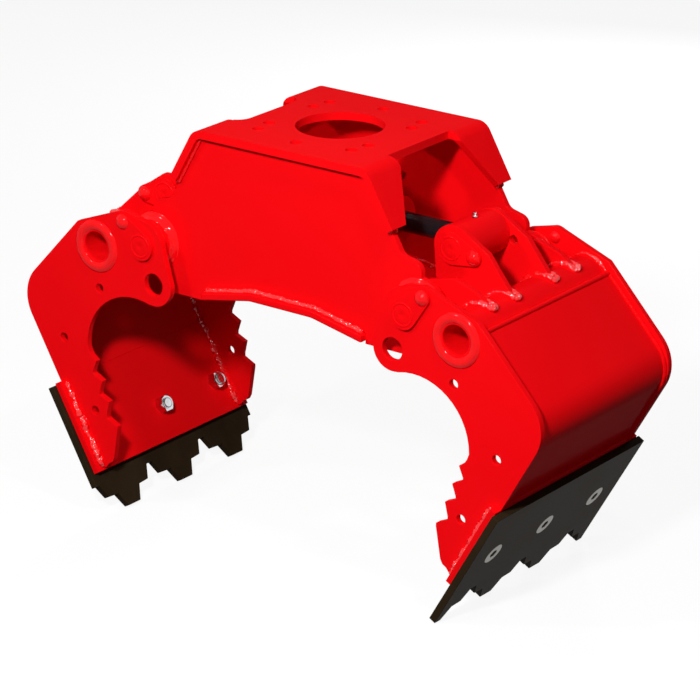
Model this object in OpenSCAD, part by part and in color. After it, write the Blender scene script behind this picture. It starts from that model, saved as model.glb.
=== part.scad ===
/* [Body] */
// Half the distance between the two main pivots, along X
pivot_x = 359; // [340:1:380]
// Depth of the main pivots under the mounting face
pivot_z = 282; // [275:1:290]
// Thickness of the bent top plate
top_t = 18; // [14:0.5:24]
// How far the top and arch plates stand out past the body's side plates
top_overhang = 17; // [12:1:22]
// Where the top face would meet a flap's outer face
top_corner_x = 234; // [228:1:240]
// Length of each end flap, from that corner
flap_len = 138; // [128:1:142]
// Outer radius of the flap bends
flap_bend_r = 36; // [22:1:40]
// Half width of a flap's notch where it starts
notch_top_y = 110; // [80:1:120]
// Half width of a flap's notch at its open end
notch_low_y = 175; // [150:1:190]
// How far the right notch's straight edge stands from the middle
notch_right_x = 210; // [200:1:216]
// How far the left notch's straight edge stands from the middle
notch_left_x = 190; // [180:1:210]
// Radius of the right notch's inner corners
notch_right_r = 10; // [6:1:24]
// Radius of the left notch's inner corners
notch_left_r = 36; // [10:1:50]
// Gap between the body's side plate and a jaw's side plate
body_gap = 35; // [30:1:40]
// Thickness of a body side plate
body_t = 15; // [12:0.5:18]
// Depth of the concave corner of the side plate's neck
neck_z = 176; // [170:1:182]
// Concave radius of the neck
neck_r = 24; // [14:1:30]
// Outer edge of the side plate above the pivot, from the middle
brow_x = 366; // [362:1:374]
// Convex radius of that corner
brow_r = 24; // [15:1:30]
// Radius of the side plate round each main pivot
cheek_r = 65; // [60:1:68]
// Depth of the side plate's lower edge
keel_z = 396; // [385:1:400]

/* [Arch plate] */
// Half length of the flat middle of the arch plate
arch_flat_x = 86; // [70:1:110]
// Half length of the whole arch plate
arch_half_x = 220; // [200:1:230]
// Depth of the arch plate's underside at the middle
arch_z = 363; // [350:1:370]
// Drop of each end below the middle
arch_drop = 27; // [10:1:30]
// Thickness of the arch plate
arch_t = 18; // [14:1:24]
// Radius of its two bends
arch_bend_r = 90; // [40:1:140]

/* [Rotator interface] */
// Centre hole of the top plate
rotator_d = 196; // [150:1:220]
// Bolt circle of the six holes
six_circle_d = 312; // [290:1:320]
// Bolt circle of the four holes
four_circle_d = 357; // [345:1:370]
// Diameter of each bolt hole
rotator_hole_d = 26; // [18:1:30]

/* [Pivots] */
// Diameter of the main pivot pins
pin_d = 50; // [40:1:54]
// Outer diameter of the bushes
bush_d = 62; // [58:1:66]
// Outer diameter of the body's pivot bosses
boss_d = 100; // [90:1:102]
// Thickness of the retaining flags
flag_t = 8; // [6:0.5:9]
// Radius of a flag round its pin
flag_big_r = 34; // [30:1:40]
// Radius of a flag round its bolt
flag_small_r = 19; // [16:1:22]
// Retaining bolt shank
flag_bolt_d = 20; // [16:1:22]
// Domed head of a retaining bolt
dome_d = 35; // [28:1:36]
// Height of that head
dome_h = 10; // [6:0.5:10]
// Domed nut on the far side of a main flag bolt
dome_nut_d = 28; // [24:1:29]
// Play between a side face and the next moving one
side_gap = 1.5; // [1:0.1:3]
// Radial play of a pin in its bush, and of a piston or rod
running_gap = 0.05; // [0.02:0.01:0.1]

/* [Jaw plates] */
// Width over the two side plates of a jaw
jaw_w = 500; // [490:1:520]
// Thickness of the side plates and lugs
jaw_t = 15; // [12:0.5:17]
// Radius of a side plate round its main pivot
eye_r = 58; // [54:1:62]
// Access lobe below the pivot: place of its hole
lobe_at = [-31, -85.5];
// Radius of that lobe
lobe_r = 50; // [44:1:54]
// Hole in that lobe
lobe_hole_d = 52; // [40:1:56]
// Place of the retaining bolt of a main pin, from the pin
flag_bolt_at = [49, 47];
// Shoulder of the side plate's upper edge
shoulder_at = [188, 19.5];
// Slope of the back edge below the shoulder
back_slope = 46.9; // [44:0.1:50]
// Radius of the outer corner
corner_r = 92; // [80:1:120]
// Centre of the concave grip
grip_at = [24, -274];
// Radius of the concave grip
grip_r = 145; // [135:1:150]
// Diameter of the three small holes
small_hole_d = 22; // [14:1:26]

/* [Lip] */
// Top inner corner of the cutting edge, from the main pivot
lip_at = [251, -383.4];
// Lean of the lip from upright
lip_lean = 29.8; // [28:0.1:32]
// Length of the cutting edge down to its tooth tips
edge_len = 319; // [300:1:330]
// Half width of the cutting edge
edge_half_y = 280; // [272:1:290]
// Thickness of the cutting edge
edge_t = 17; // [16:0.5:24]
// Height of the teeth
tooth_h = 69; // [60:1:76]
// Height of the lower step of a tooth
tooth_tip_h = 35; // [28:1:45]
// Half width of the base plate
base_half_y = 270; // [256:1:272]
// Length of the base plate behind the cutting edge
base_len = 221; // [218:1:235]
// How far the base plate stands above the cutting edge
base_rise = 4; // [2:0.5:8]
// Thickness of the base plate
base_t = 16; // [15:0.5:20]
// Length of the side plate's foot along the base plate
foot_len = 214; // [210:1:218]
// Distance of the edge bolts from the edge's top
edge_bolt_s = 140; // [125:1:150]
// Pitch of the edge bolts
edge_bolt_pitch = 193; // [180:1:200]
// Shank of an edge bolt
edge_bolt_d = 24; // [20:1:27]
// Head of an edge bolt
edge_head_d = 52; // [45:1:56]
// Depth of that head
edge_head_h = 10; // [8:0.5:12]
// Socket in that head, across flats
socket_af = 19; // [14:1:22]
// Depth of the socket
socket_h = 7; // [5:0.5:8]
// Nut across flats
nut_af = 36; // [32:1:42]
// Nut height
nut_h = 22; // [18:1:24]
// Chamfer of a nut's corners, and the bolt's end past the nut
nut_chamfer = 2; // [1:0.5:3]

/* [Shell and cross tube] */
// Recess of the shell's upper leg inside the side plates' outline
shell_recess = 15; // [13:0.5:18]
// Thickness of the shell
shell_t = 10; // [8:0.5:12]
// Centre of the cross tube, from the main pivot
tube_at = [133, -29];
// Outer diameter of the cross tube
tube_d = 106; // [100:1:110]
// Bore of the cross tube
tube_bore_d = 66; // [50:1:80]
// How far the tube stands out of the side plates
tube_proud = 2; // [1:0.5:4]
// Gap between a lug and the body's side plate
lug_gap = 22; // [16:1:24]
// Inner face of the ears, along Y
ear_y = 64; // [60:1:70]
// Radius of a lug round the main pivot
lug_r = 50; // [46:1:54]

/* [Cylinder] */
// Height of the cylinder pins over the main pivots
arm_len = 99; // [95:1:103]
// Radius of an ear round the cylinder pin
ear_r = 49; // [48:1:52]
// Radius of the left jaw's tall lugs round it
tall_lug_r = 44; // [42:1:48]
// Place of a cylinder pin's retaining bolt, from that pin
ear_bolt_at = [57, -10];
// Radius of a cylinder flag round its pin
ear_flag_r = 37; // [34:1:40]
// Outer diameter of the two cylinder eyes
eye_d = 96; // [90:1:98]
// Bush diameter inside an eye
eye_bush_d = 60; // [56:1:64]
// Outer diameter of the barrel
barrel_d = 107; // [100:1:112]
// Bore of the barrel
barrel_bore_d = 90; // [80:1:92]
// From the barrel's pin to its rod end
barrel_len = 524; // [510:1:530]
// From the barrel's pin to the inside of its base
barrel_base = 75; // [70:1:85]
// Length of the gland
gland_len = 30; // [26:1:36]
// Diameter of the piston rod
rod_d = 45; // [40:1:50]
// From the rod's pin to the piston's rod side
piston_at = 385; // [380:1:392]
// Thickness of the piston
piston_t = 50; // [40:1:60]
// Outer diameter of the spacers beside the barrel's eye
spacer_d = 74; // [66:1:80]
// Outer diameter of a port boss
port_d = 38; // [32:1:44]
// Bore of a port
port_bore_d = 18; // [12:1:24]
// Height of a port over the barrel
port_h = 22; // [16:1:30]
// Diameter of an elbow's upright body
elbow_d = 30; // [26:1:34]
// Height of an elbow's outlet over the barrel's axis
elbow_z = 100; // [96:1:104]
// Outer diameter of an elbow's outlet
elbow_out_d = 22; // [18:1:24]
// Reach of an elbow's outlet from its port
elbow_reach = 56; // [40:1:60]
// Bore of an elbow
elbow_bore_d = 12; // [8:1:13]
// Threaded socket in its outlet
socket_d = 16; // [14:1:17]
// Depth of that socket
socket_len = 20; // [12:1:24]
// From the inside of the base to the base-side port
base_port_gap = 16; // [8:1:40]
// From the rod-side port to the gland
port_gap = 1; // [1:1:20]
// Hexagon of a grease nipple, across flats
nipple_af = 11; // [9:0.5:13]
// Height of a grease nipple
nipple_h = 12; // [10:0.5:18]

/* [Hidden] */
$fn = 72;
// Steps of every bend and round of an outline
arc_steps = 14;
// Slope of a flap under level
flap_slope = 60;
// Slope of the brow between the neck and the outer edge
brow_slope = 14;
// Turn of each port about the barrel, from upright: the base one points to the back
port_turns = [-90, 0];
// Angles round the main pivot where the cheek's arc starts and ends
cheek_from = 84;
cheek_to = -47;
// Angles where the arcs of a jaw's side plate start and end
eye_angles = [178, 100];
flag_bolt_angles = [112, 62];
grip_angles = [0, 106];
lobe_angles = [-85, -186];
// Angles where the arcs of the ears and lugs start and end
ear_angles = [180, 52];
lug_angles = [250, 100];
tall_lug_angles = [180, 78];
tall_bolt_angles = [70, 40];
// Run past a face so that a cut is clean
over = 1;
half_w = jaw_w / 2;
plate_y = half_w - jaw_t;
// Outer face of a body side plate, along Y
body_half_y = plate_y - body_gap;
body_inner_y = body_half_y - body_t;
// Inner face of the lugs, along Y
lug_y = body_inner_y - lug_gap - jaw_t;
top_half_y = body_half_y + top_overhang;
// Unit shapes of the freehand outlines, each in shares of the size named beside it
// Serrated inner edge of a jaw side plate, from the grip down to the foot: shares of edge_len
serration_share = [
    [0.514, -0.900], [0.497, -0.926], [0.451, -0.959], [0.484, -1.038], [0.484, -1.057],
    [0.398, -1.100], [0.427, -1.185], [0.427, -1.207], [0.341, -1.244], [0.364, -1.345],
    [0.364, -1.370], [0.271, -1.414], [0.269, -1.435], [0.307, -1.665], [0.324, -1.699],
    [0.355, -1.718], [0.379, -1.750]
];
// Small holes of a jaw side plate: shares of edge_len
small_hole_share = [[0.401, -0.401], [0.749, -0.846], [0.472, -1.339]];
// Ear outline right of its round, and under it: shares of the arm
ear_out_share = [[0.92, 1.02], [1.535, 0.242]];
ear_low_share = [[1.19, -0.84], [0.95, -0.95], [0.22, -0.62], [-0.40, -0.10]];
// Lug outline beside its round: shares of the arm
lug_out_share = [[0.64, 0.67], [1.20, 0.485], [1.54, 0.25]];
lug_low_share = [[1.19, -0.84], [0.95, -0.95], [0.35, -0.62]];
// Half widths of a tooth at its tip, its step and its root: shares of the pitch
tooth_tip_share = 0.107;
tooth_step_share = 0.198;
tooth_ledge_share = 0.366;
tooth_root_share = 0.444;
// Fall of the ledge: share of the tooth's height
ledge_drop_share = 0.03;
// Hexagon, neck and head of a grease nipple: shares of its height
nipple_hex_share = 0.4;
nipple_neck_share = 0.75;
nipple_head_share = 0.3;
// Its neck and head: shares of its hexagon's width
nipple_neck_d_share = 0.55;
nipple_head_d_share = 0.75;

function heading(a) = [cos(a), sin(a)];
function cross2(u, v) = u[0] * v[1] - u[1] * v[0];
// Where the line through p with heading a meets the line through q with heading b
function line_cross(p, a, q, b) =
    p + heading(a) * cross2(q - p, heading(b)) / cross2(heading(a), heading(b));
// Points of an arc
function arc(c, r, from, to) =
    [for (i = [0 : arc_steps]) c + r * heading(from + (to - from) * i / arc_steps)];
// A rounded corner: heading a comes in, heading b goes out
function turn_of(a, b) = (b - a) > 180 ? b - a - 360 : (b - a) < -180 ? b - a + 360 : b - a;
function bend(corner, a, b, r) =
    let (turn = turn_of(a, b), s = sign(turn),
         start = corner - heading(a) * r * tan(abs(turn) / 2),
         c = start + heading(a + 90 * s) * r)
    [for (i = [0 : arc_steps]) c + r * heading(a - 90 * s + turn * i / arc_steps)];
function reversed(list) = [for (i = [len(list) - 1 : -1 : 0]) list[i]];
function mirror_x(list) = [for (p = list) [-p[0], p[1]]];
// Outline of a tear-drop round two circles
function tear(c0, r0, c1, r1) =
    let (v = c1 - c0, a = atan2(v[1], v[0]), k = acos((r0 - r1) / norm(v)))
    concat(arc(c0, r0, a + k, a + 360 - k), arc(c1, r1, a - k, a + k));

// A plate whose outline stands in the XZ plane, from y0 to y0 + t
module plate(y0, t) {
    translate([0, y0 + t, 0]) rotate([90, 0, 0]) linear_extrude(t) children();
}
// A round bar along Y, from y0 to y1, at a place in XZ
module bar_y(at, d, y0, y1) {
    translate([at[0], y1, at[1]]) rotate([90, 0, 0]) cylinder(h = y1 - y0, d = d);
}
// A round bar along X
module bar_x(d, x0, x1) {
    translate([x0, 0, 0]) rotate([0, 90, 0]) cylinder(h = x1 - x0, d = d);
}
// The same thing at the front and at the back
module front_and_back() {
    children();
    mirror([0, 1, 0]) children();
}
module on_right() { translate([pivot_x, 0, -pivot_z]) children(); }
module on_left() { mirror([1, 0, 0]) on_right() children(); }
module each_pivot() {
    on_right() front_and_back() children();
    on_left() front_and_back() children();
}
module red() { color([0.86, 0.04, 0.05]) children(); }
module steel() { color([0.62, 0.63, 0.65]) children(); }
module zinc() { color([0.74, 0.75, 0.77]) children(); }
module bronze() { color([0.72, 0.5, 0.24]) children(); }
module wear_steel() { color([0.16, 0.13, 0.1]) children(); }

// Body
flap_end = [top_corner_x, 0] + flap_len * heading(-flap_slope);
flap_end_in = flap_end + top_t * heading(-flap_slope - 90);
under_corner = line_cross([0, -top_t], 0, flap_end_in, -flap_slope);
top_outer = concat(bend([top_corner_x, 0], 0, -flap_slope, flap_bend_r), [flap_end]);
top_under = concat(bend(under_corner, 0, -flap_slope, flap_bend_r - top_t), [flap_end_in]);
neck_corner = line_cross(flap_end_in, -flap_slope, [0, -neck_z], 0);
brow_corner = line_cross(neck_corner, -brow_slope, [brow_x, 0], 90);
pivot_at = [pivot_x, -pivot_z];
cheek_end = pivot_at + cheek_r * heading(cheek_to);
keel_corner = line_cross(cheek_end, cheek_to - 90, [0, -keel_z], 0);
body_half_outline = concat(
    [[0, -top_t]],
    top_under,
    bend(neck_corner, -flap_slope, -brow_slope, neck_r),
    bend(brow_corner, -brow_slope, -90, brow_r),
    arc(pivot_at, cheek_r, cheek_from, cheek_to),
    [keel_corner, [0, -keel_z]]
);
arch_slope = atan2(arch_drop, arch_half_x - arch_flat_x);
arch_low = concat(
    bend([arch_flat_x, -arch_z], 0, -arch_slope, arch_bend_r),
    [[arch_half_x, -arch_z - arch_drop]]
);
arch_high = [for (p = arch_low) p + [0, arch_t]];
six_angles = [30 : 60 : 330];
four_angles = [45 : 90 : 315];

module top_profile() {
    polygon(concat(top_outer, reversed(top_under), mirror_x(top_under), reversed(mirror_x(top_outer))));
}
module flap_notch(x, r) {
    flap_run = top_corner_x + flap_len;
    rotate([0, 90, 0]) translate([0, 0, notch_right_x])
        linear_extrude(flap_run)
            polygon([
                [-over, -notch_top_y], [top_t, -notch_top_y],
                [-flap_end_in[1] + over, -notch_low_y], [-flap_end_in[1] + over, notch_low_y],
                [top_t, notch_top_y], [-over, notch_top_y]
            ]);
    translate([0, 0, -top_t - over]) linear_extrude(top_t + over + over) polygon(concat(
        [[flap_run, notch_top_y]],
        bend([x, notch_top_y], 180, 270, r),
        bend([x, -notch_top_y], 270, 360, r),
        [[flap_run, -notch_top_y]]
    ));
}
module through_top(d) {
    translate([0, 0, -top_t - over]) cylinder(h = top_t + over + over, d = d);
}
module top_plate() {
    red() difference() {
        plate(-top_half_y, 2 * top_half_y) top_profile();
        flap_notch(notch_right_x, notch_right_r);
        mirror([1, 0, 0]) flap_notch(notch_left_x, notch_left_r);
        through_top(rotator_d);
        for (a = six_angles) rotate(a) translate([six_circle_d / 2, 0, 0]) through_top(rotator_hole_d);
        for (a = four_angles) rotate(a) translate([four_circle_d / 2, 0, 0]) through_top(rotator_hole_d);
    }
}
module arch_profile() {
    polygon(concat(arch_low, reversed(arch_high), mirror_x(arch_high), reversed(mirror_x(arch_low))));
}
module arch_plate() { red() plate(-top_half_y, 2 * top_half_y) arch_profile(); }
module body_side_profile() {
    difference() {
        polygon(concat(body_half_outline, reversed(mirror_x(body_half_outline))));
        polygon(concat(
            arch_high, [[arch_half_x, -keel_z - over], [-arch_half_x, -keel_z - over]],
            reversed(mirror_x(arch_high))
        ));
    }
}
module body_side() {
    red() difference() {
        plate(body_inner_y, body_t) body_side_profile();
        for (x = [-pivot_x, pivot_x])
            bar_y([x, -pivot_z], boss_d, body_inner_y - over, body_half_y + over);
    }
}
module body_side_back() { body_side(); }
module body_side_front() { mirror([0, 1, 0]) body_side(); }
boss_from = lug_y + jaw_t + side_gap;
boss_to = plate_y - side_gap;
module pivot_bosses() {
    red() each_pivot() difference() {
        bar_y([0, 0], boss_d, boss_from, boss_to);
        bar_y([0, 0], bush_d, boss_from - over, boss_to + over);
    }
}
module pivot_bushes() {
    bronze() each_pivot() difference() {
        bar_y([0, 0], bush_d, boss_from, boss_to);
        bar_y([0, 0], pin_d + 2 * running_gap, boss_from - over, boss_to + over);
    }
}

// Jaws, drawn for the right one round its main pivot
lip_dir = heading(-90 - lip_lean);
lip_out = heading(-lip_lean);
base_top = lip_at - base_rise * lip_dir;
back_corner = line_cross(shoulder_at, -back_slope, lip_at, 90 - lip_lean);
serration = [for (p = serration_share) p * edge_len];
foot_at = lip_at + foot_len * lip_dir - base_t * lip_out;
jaw_outline = concat(
    arc([0, 0], eye_r, eye_angles[0], eye_angles[1]),
    arc(flag_bolt_at, flag_small_r + jaw_t / 3, flag_bolt_angles[0], flag_bolt_angles[1]),
    [shoulder_at],
    bend(back_corner, -back_slope, -90 - lip_lean, corner_r),
    [base_top, base_top - base_t * lip_out, foot_at],
    reversed(serration),
    arc(grip_at, grip_r, grip_angles[0], grip_angles[1]),
    arc(lobe_at, lobe_r, lobe_angles[0], lobe_angles[1])
);
module jaw_side(side) {
    red() difference() {
        plate(plate_y, jaw_t) polygon(jaw_outline);
        bar_y([0, 0], pin_d, plate_y - over, half_w + over);
        bar_y(tube_at, tube_d, plate_y - over, half_w + over);
        bar_y(lobe_at, lobe_hole_d, plate_y - over, half_w + over);
        bar_y(flag_bolt_at, flag_bolt_d, plate_y - over, half_w + over);
        for (p = small_hole_share) bar_y(p * edge_len, small_hole_d, plate_y - over, half_w + over);
    }
}
module jaw_side_back() { jaw_side(); }
module jaw_side_front() { mirror([0, 1, 0]) jaw_side(); }

back_out = heading(90 - back_slope);
// The shell's lower leg ends on the base plate's top, flush with its inner face
shell_foot = base_top - (base_t - shell_t) * lip_out;
shell_in_foot = base_top - base_t * lip_out;
shell_line_at = shoulder_at - shell_recess * back_out;
shell_in_line_at = shell_line_at - shell_t * back_out;
shell_corner = line_cross(shell_line_at, -back_slope, shell_foot, 90 - lip_lean);
shell_in_corner = line_cross(shell_in_line_at, -back_slope, shell_in_foot, 90 - lip_lean);
// The shell starts where its inner face leaves the cross tube
tube_foot = line_cross(tube_at, 90 - back_slope, shell_in_line_at, -back_slope);
shell_in_top = tube_foot
    + sqrt(pow(tube_d / 2, 2) - pow(norm(tube_foot - tube_at), 2)) * heading(-back_slope);
shell_top = shell_in_top + shell_t * back_out;
shell_r = corner_r - shell_recess;
module jaw_shell() {
    red() plate(-plate_y, 2 * plate_y) polygon(concat(
        [shell_top],
        bend(shell_corner, -back_slope, -90 - lip_lean, shell_r),
        [shell_foot, shell_in_foot],
        reversed(bend(shell_in_corner, -back_slope, -90 - lip_lean, shell_r - shell_t)),
        [shell_in_top]
    ));
}
// Puts a thing drawn on the lip's plane: X across it, Y down it, Z out of it
module on_lip() {
    multmatrix([
        [0, lip_dir[0], lip_out[0], lip_at[0]],
        [1, 0, 0, 0],
        [0, lip_dir[1], lip_out[1], lip_at[1]],
        [0, 0, 0, 1]
    ]) children();
}
bolt_places = [for (k = [-1 : 1]) [k * edge_bolt_pitch, edge_bolt_s]];
module lip_hole(d, z0, z1) {
    for (p = bolt_places) translate([p[0], p[1], z0]) cylinder(h = z1 - z0, d = d);
}
module jaw_base() {
    red() on_lip() difference() {
        translate([-base_half_y, -base_rise, -base_t])
            cube([2 * base_half_y, base_rise + base_len, base_t]);
        lip_hole(edge_bolt_d, -base_t - over, over);
    }
}
tooth_pitch = edge_half_y * 2 / 3;
// One side of a tooth, from its tip to its root: s is 1 or -1
function tooth_side(y, s) = [
    [y + s * tooth_tip_share * tooth_pitch, edge_len],
    [y + s * tooth_step_share * tooth_pitch, edge_len - tooth_tip_h],
    [y + s * tooth_ledge_share * tooth_pitch, edge_len - tooth_tip_h - ledge_drop_share * tooth_h],
    [y + s * tooth_root_share * tooth_pitch, edge_len - tooth_h]
];
function tooth(y) = concat(reversed(tooth_side(y, -1)), tooth_side(y, 1));
// The right edge has half teeth at its ends, and the left edge's teeth pass between the right one's
right_edge_outline = concat(
    [[edge_half_y, 0], [-edge_half_y, 0], [-edge_half_y, edge_len]],
    tooth_side(-edge_half_y, 1),
    tooth(-tooth_pitch / 2),
    tooth(tooth_pitch / 2),
    reversed(tooth_side(edge_half_y, -1)),
    [[edge_half_y, edge_len]]
);
left_edge_outline = concat(
    [[edge_half_y, 0], [-edge_half_y, 0], [-edge_half_y, edge_len - tooth_h]],
    tooth(-tooth_pitch), tooth(0), tooth(tooth_pitch),
    [[edge_half_y, edge_len - tooth_h]]
);
module jaw_edge(outline) {
    wear_steel() on_lip() difference() {
        linear_extrude(edge_t) polygon(outline);
        lip_hole(edge_bolt_d, -over, edge_t + over);
        lip_hole(edge_head_d, edge_t - edge_head_h, edge_t + over);
    }
}
module edge_bolts() {
    zinc() on_lip() for (p = bolt_places) translate([p[0], p[1], 0]) difference() {
        union() {
            translate([0, 0, -base_t - nut_h - nut_chamfer])
                cylinder(h = base_t + nut_h + nut_chamfer + edge_t - edge_head_h, d = edge_bolt_d);
            translate([0, 0, edge_t - edge_head_h]) cylinder(h = edge_head_h, d = edge_head_d);
        }
        translate([0, 0, edge_t - socket_h])
            cylinder(h = socket_h + over, d = socket_af / cos(30), $fn = 6);
    }
}
module edge_nuts() {
    zinc() on_lip() for (p = bolt_places) translate([p[0], p[1], -base_t - nut_h]) difference() {
        cylinder(h = nut_h, d = nut_af / cos(30), $fn = 6);
        translate([0, 0, -over]) cylinder(h = nut_h + over + over, d = edge_bolt_d);
    }
}
module jaw_tube() {
    tube_half = half_w + tube_proud;
    red() difference() {
        bar_y(tube_at, tube_d, -tube_half, tube_half);
        bar_y(tube_at, tube_bore_d, -tube_half - over, tube_half + over);
    }
}
ear_at = [0, arm_len];
ear_outline = concat(
    arc(ear_at, ear_r, ear_angles[0], ear_angles[1]),
    [for (p = ear_out_share) p * arm_len],
    [tube_at],
    [for (p = ear_low_share) p * arm_len]
);
lug_outline = concat(
    arc([0, 0], lug_r, lug_angles[0], lug_angles[1]),
    [for (p = lug_out_share) p * arm_len],
    [tube_at],
    [for (p = lug_low_share) p * arm_len]
);
module low_lugs() {
    red() front_and_back() difference() {
        plate(lug_y, jaw_t) polygon(lug_outline);
        bar_y([0, 0], pin_d, lug_y - over, lug_y + jaw_t + over);
        bar_y(tube_at, tube_d, lug_y - over, lug_y + jaw_t + over);
    }
}
tall_lug_outline = concat(
    arc(ear_at, tall_lug_r, tall_lug_angles[0], tall_lug_angles[1]),
    arc(ear_at + ear_bolt_at, dome_d / 2, tall_bolt_angles[0], tall_bolt_angles[1]),
    [lug_out_share[2] * arm_len],
    [tube_at],
    [for (p = ear_low_share) p * arm_len]
);
module tall_lugs() {
    red() front_and_back() difference() {
        union() {
            plate(lug_y, jaw_t) polygon(tall_lug_outline);
            bar_y([0, 0], 2 * lug_r, lug_y, lug_y + jaw_t);
        }
        bar_y([0, 0], pin_d, lug_y - over, lug_y + jaw_t + over);
        bar_y(ear_at, pin_d, lug_y - over, lug_y + jaw_t + over);
        bar_y(ear_at + ear_bolt_at, flag_bolt_d, lug_y - over, lug_y + jaw_t + over);
        bar_y(tube_at, tube_d, lug_y - over, lug_y + jaw_t + over);
    }
}
module ears() {
    red() front_and_back() difference() {
        plate(ear_y, jaw_t) polygon(ear_outline);
        bar_y(ear_at, pin_d, ear_y - over, ear_y + jaw_t + over);
        bar_y(ear_at + ear_bolt_at, flag_bolt_d, ear_y - over, ear_y + jaw_t + over);
        bar_y(tube_at, tube_d, ear_y - over, ear_y + jaw_t + over);
    }
}
pin_end_y = lug_y - side_gap - side_gap;
module pivot_pins() {
    steel() front_and_back() bar_y([0, 0], pin_d, pin_end_y, half_w + flag_t);
}
module flags() {
    red() front_and_back() difference() {
        plate(half_w, flag_t) polygon(tear([0, 0], flag_big_r, flag_bolt_at, flag_small_r));
        bar_y([0, 0], pin_d, half_w - over, half_w + flag_t + over);
        bar_y(flag_bolt_at, flag_bolt_d, half_w - over, half_w + flag_t + over);
    }
}
// A low dome on Z, standing on z = 0
module dome(d, h) {
    ball_r = (d * d / 4 + h * h) / (2 * h);
    rotate_extrude() polygon(concat(
        [[0, 0]],
        arc([0, h - ball_r], ball_r, asin((ball_r - h) / ball_r), 90)
    ));
}
module dome_bolt(at, y0, y1, nut) {
    bar_y(at, flag_bolt_d, y0 - (nut ? dome_h / 2 : 0), y1 + over);
    translate([at[0], y1, at[1]]) rotate([-90, 0, 0]) dome(dome_d, dome_h);
    if (nut) translate([at[0], y0, at[1]]) rotate([90, 0, 0]) dome(dome_nut_d, dome_h);
}
module flag_bolts() {
    red() front_and_back() dome_bolt(flag_bolt_at, plate_y, half_w + flag_t, true);
}
// Pin, flag and bolt of a cylinder pin whose carrying plates have their outer faces at y
module cylinder_pin(y) { steel() bar_y(ear_at, pin_d, -y - flag_t, y + side_gap + side_gap); }
module cylinder_flag(y) {
    red() mirror([0, 1, 0]) difference() {
        plate(y, flag_t) polygon(tear(ear_at, ear_flag_r, ear_at + ear_bolt_at, flag_small_r));
        bar_y(ear_at, pin_d, y - over, y + flag_t + over);
        bar_y(ear_at + ear_bolt_at, flag_bolt_d, y - over, y + flag_t + over);
    }
}
module cylinder_bolt(y) {
    red() mirror([0, 1, 0]) dome_bolt(ear_at + ear_bolt_at, y - jaw_t, y + flag_t, false);
}
ear_out_y = ear_y + jaw_t;
lug_out_y = lug_y + jaw_t;
eye_half = ear_y - side_gap;
module spacers() {
    red() front_and_back() difference() {
        bar_y(ear_at, spacer_d, eye_half + side_gap, lug_y);
        bar_y(ear_at, pin_d, eye_half, lug_y + over);
    }
}

module right_side_front() { on_right() jaw_side_front(); }
module right_side_back() { on_right() jaw_side_back(); }
module right_shell() { on_right() jaw_shell(); }
module right_base_plate() { on_right() jaw_base(); }
module right_cutting_edge() { on_right() jaw_edge(right_edge_outline); }
module right_edge_bolts() { on_right() edge_bolts(); }
module right_edge_nuts() { on_right() edge_nuts(); }
module right_cross_tube() { on_right() jaw_tube(); }
module right_lugs() { on_right() low_lugs(); }
module right_ears() { on_right() ears(); }
module right_pivot_pins() { on_right() pivot_pins(); }
module right_flags() { on_right() flags(); }
module right_flag_bolts() { on_right() flag_bolts(); }
module right_cylinder_pin() { on_right() cylinder_pin(ear_out_y); }
module right_cylinder_flag() { on_right() cylinder_flag(ear_out_y); }
module right_cylinder_bolt() { on_right() cylinder_bolt(ear_out_y); }
module left_side_front() { on_left() jaw_side_front(); }
module left_side_back() { on_left() jaw_side_back(); }
module left_shell() { on_left() jaw_shell(); }
module left_base_plate() { on_left() jaw_base(); }
module left_cutting_edge() { on_left() jaw_edge(left_edge_outline); }
module left_edge_bolts() { on_left() edge_bolts(); }
module left_edge_nuts() { on_left() edge_nuts(); }
module left_cross_tube() { on_left() jaw_tube(); }
module left_lugs() { on_left() tall_lugs(); }
module left_pivot_pins() { on_left() pivot_pins(); }
module left_flags() { on_left() flags(); }
module left_flag_bolts() { on_left() flag_bolts(); }
module left_cylinder_pin() { on_left() cylinder_pin(lug_out_y); }
module left_cylinder_flag() { on_left() cylinder_flag(lug_out_y); }
module left_cylinder_bolt() { on_left() cylinder_bolt(lug_out_y); }
module left_spacers() { on_left() spacers(); }

// Cylinder: each half is drawn from its own pin
cylinder_z = arm_len - pivot_z;
module from_left_pin() { translate([-pivot_x, 0, cylinder_z]) children(); }
module from_right_pin() { translate([pivot_x, 0, cylinder_z]) mirror([1, 0, 0]) children(); }
module eye_tube() {
    difference() {
        bar_y([0, 0], eye_d, -eye_half, eye_half);
        bar_y([0, 0], eye_bush_d, -eye_half - over, eye_half + over);
        nipple_hole();
    }
}
module eye_bush() {
    bronze() difference() {
        bar_y([0, 0], eye_bush_d, -eye_half, eye_half);
        bar_y([0, 0], pin_d + 2 * running_gap, -eye_half - over, eye_half + over);
    }
}
nipple_shank = nipple_af / 2;
nipple_seat = eye_d / 2 - nipple_af / 4;
module nipple_hole() {
    translate([0, 0, eye_bush_d / 2]) cylinder(h = eye_d / 2, d = nipple_shank);
    translate([0, 0, nipple_seat]) cylinder(h = eye_d, d = 2 * nipple_af);
}
module nipple() {
    zinc() {
        translate([0, 0, nipple_seat - nipple_af]) cylinder(h = nipple_af + nipple_af / 4, d = nipple_shank);
        translate([0, 0, nipple_seat])
            cylinder(h = nipple_h * nipple_hex_share, d = nipple_af / cos(30), $fn = 6);
        translate([0, 0, nipple_seat])
            cylinder(h = nipple_h * nipple_neck_share, d = nipple_af * nipple_neck_d_share);
        translate([0, 0, nipple_seat + nipple_h * (1 - nipple_head_share)])
            cylinder(h = nipple_h * nipple_head_share, d = nipple_af * nipple_head_d_share);
    }
}
module barrel_eye() { red() from_left_pin() eye_tube(); }
module barrel_bush() { from_left_pin() eye_bush(); }
module barrel_nipple() { from_left_pin() nipple(); }
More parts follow.
